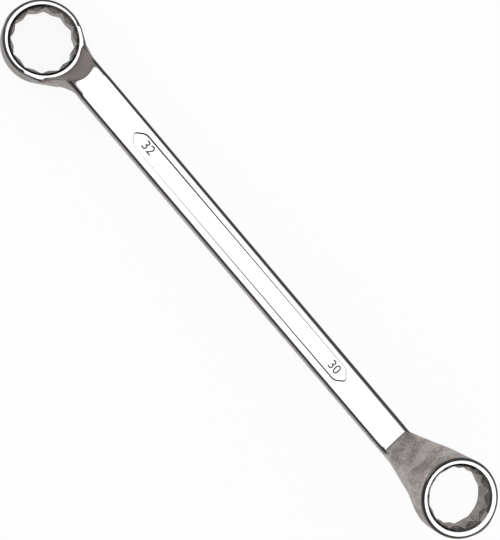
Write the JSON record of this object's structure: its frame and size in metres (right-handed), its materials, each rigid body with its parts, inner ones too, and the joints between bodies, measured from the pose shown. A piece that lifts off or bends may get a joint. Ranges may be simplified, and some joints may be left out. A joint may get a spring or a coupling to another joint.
{
  "type": "ring spanner",
  "caption": "Double-ended deep-offset ring spanner with twelve-point sockets, a flat shank between two cranked necks, one ring raised and the other lowered.",
  "frame": {"origin": "the middle of the overall box, in the shank's middle plane and half way between the outer ends of the two rings", "axes": "+X along the shank from the 32 ring to the 30 ring, +Y across the shank, +Z along the ring axes out of the 30 ring's working face"},
  "size_m": [0.3798, 0.046, 0.09],
  "materials": {
    "ring_chrome": "bright polished flat faces, satin walls and bore",
    "satin_chrome": "satin, as forged and plated",
    "bright_chrome": "bright polished flat faces, satin edges"
  },
  "bodies": {
    "root": {"ring_head_32": "ring_chrome", "neck_32": "satin_chrome", "shank": "bright_chrome", "neck_30": "satin_chrome", "ring_head_30": "ring_chrome"}
  },
  "joints": []
}
